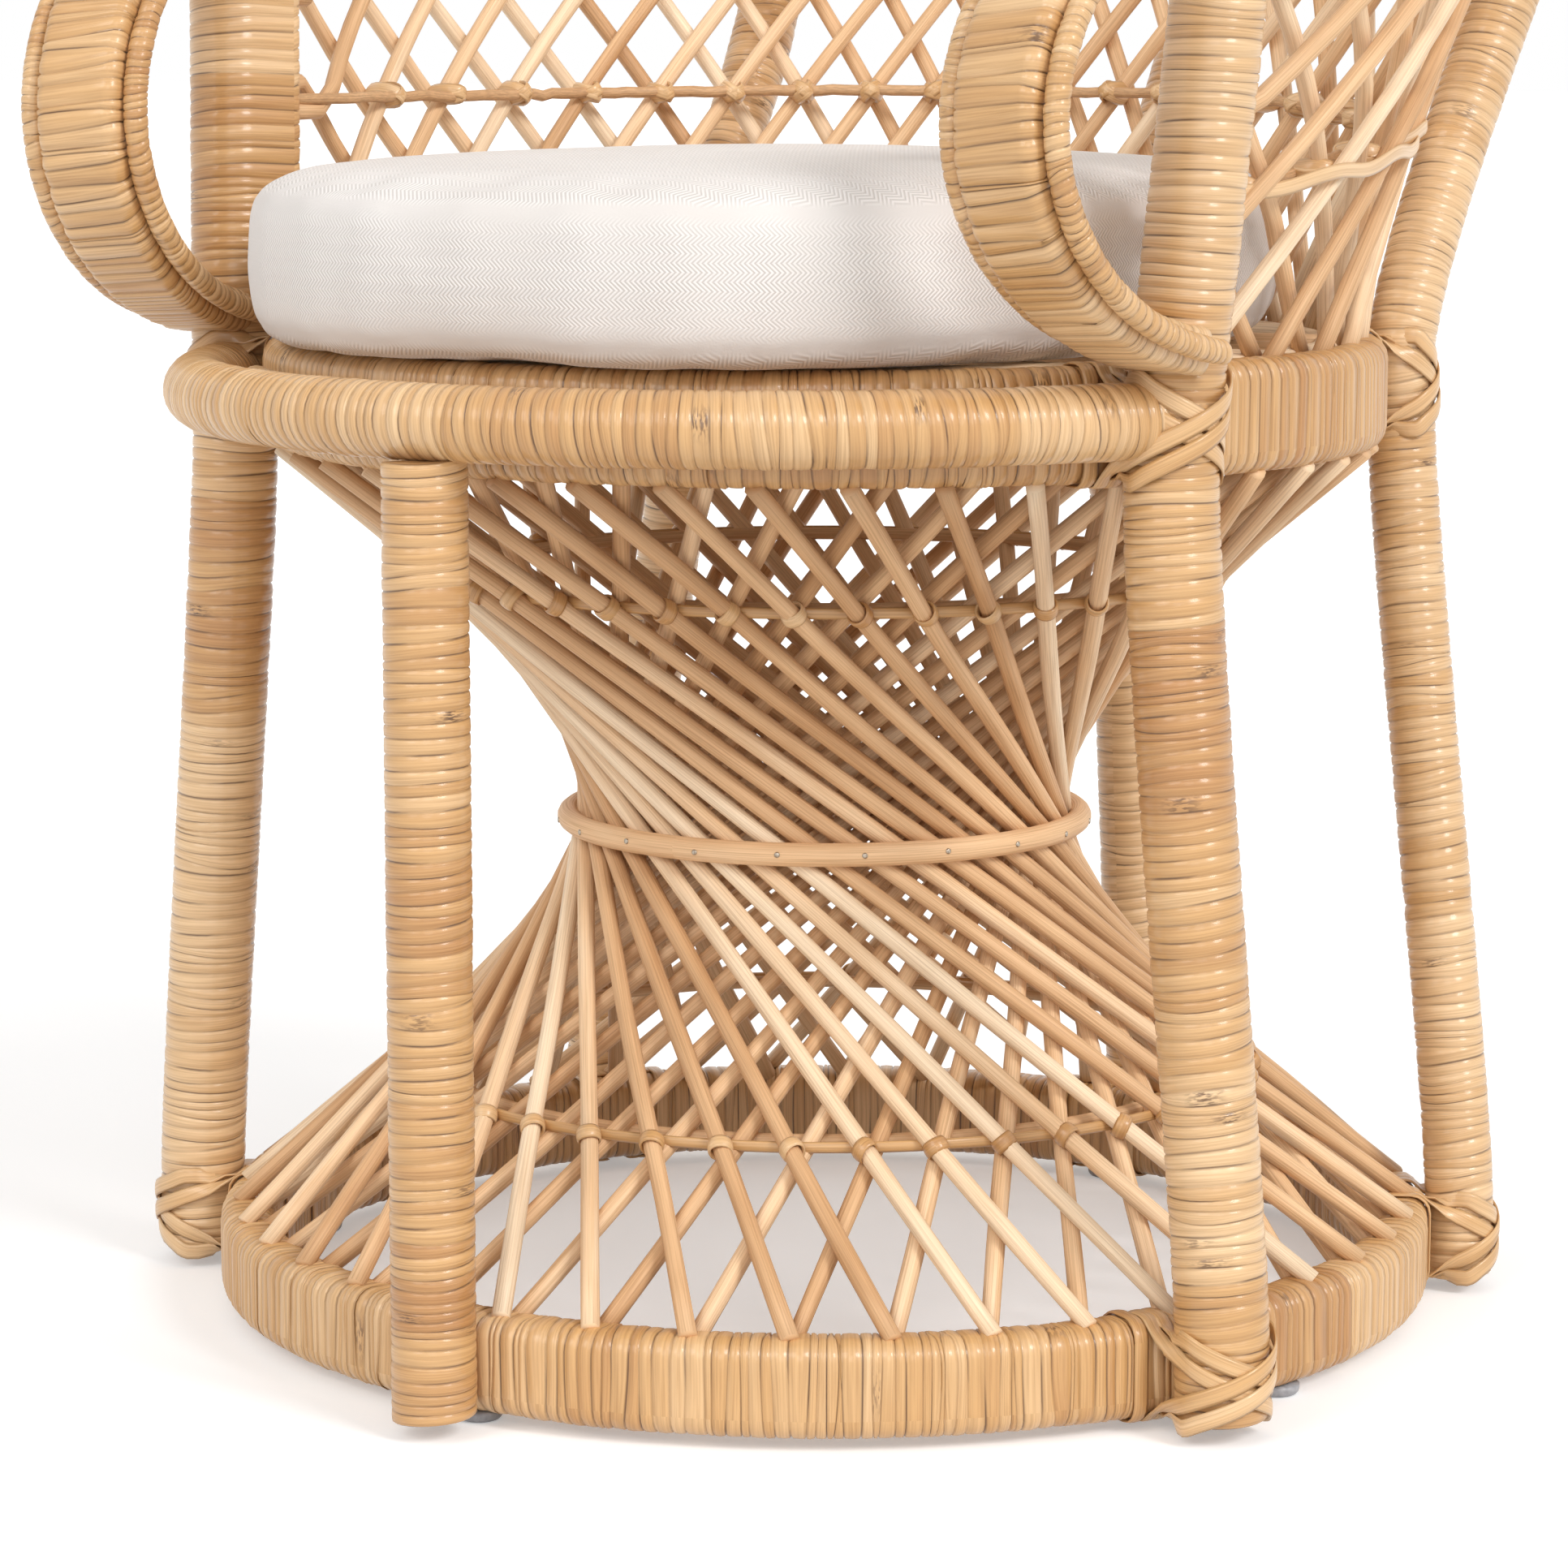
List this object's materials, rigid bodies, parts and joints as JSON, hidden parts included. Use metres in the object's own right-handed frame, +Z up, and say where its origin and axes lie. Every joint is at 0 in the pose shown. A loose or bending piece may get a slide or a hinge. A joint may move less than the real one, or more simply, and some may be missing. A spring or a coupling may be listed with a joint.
{
  "type": "peacock chair",
  "caption": "High fan-back rattan chair on an hourglass base of crossed canes, with wrapped posts, looped arms and a loose seat cushion.",
  "frame": {"origin": "on the floor, below the middle of the chair's bounding box", "axes": "+Z up, -Y out of the front of the seat, +X to the sitter's left"},
  "size_m": [1.0586, 0.7468, 1.4659],
  "materials": {
    "peel_wrap": "glossy rattan peel wrap",
    "cane_core": "matte bare cane",
    "cushion_fabric": "herringbone weave",
    "glide": "smooth"
  },
  "bodies": {
    "chair_frame": {"base_hoop": "peel_wrap", "seat_hoop": "peel_wrap", "arm_post_left": "peel_wrap", "arm_post_right": "peel_wrap", "back_edge_cane_left": "peel_wrap", "back_edge_cane_right": "peel_wrap", "front_rim_outer": "peel_wrap", "front_rim_inner": "peel_wrap", "front_leg": "peel_wrap", "arm_band_left": "peel_wrap", "arm_cord_left_inner": "peel_wrap", "arm_cord_left_outer": "peel_wrap", "arm_band_right": "peel_wrap", "arm_cord_right_inner": "peel_wrap", "arm_cord_right_outer": "peel_wrap", "fan_rim": "peel_wrap", "back_post_left": "peel_wrap", "back_post_right": "peel_wrap", "rear_post": "peel_wrap", "hourglass_outer_canes": "cane_core", "hourglass_inner_canes": "cane_core", "seat_deck": "cane_core", "back_inner_canes": "cane_core", "back_outer_canes": "cane_core", "back_tie_cane": "cane_core", "fan_arch_cane": "cane_core", "fan_scallop_cane": "cane_core", "glide_front": "glide", "glide_left": "glide", "glide_rear": "glide", "glide_right": "glide"},
    "cushion": {"seat_cushion": "cushion_fabric"}
  },
  "joints": [
    {"name": "cushion_lift", "type": "slide", "parent": "chair_frame", "child": "cushion", "axis": [0, 0, 1], "range_m": [0, 0.3]}
  ]
}
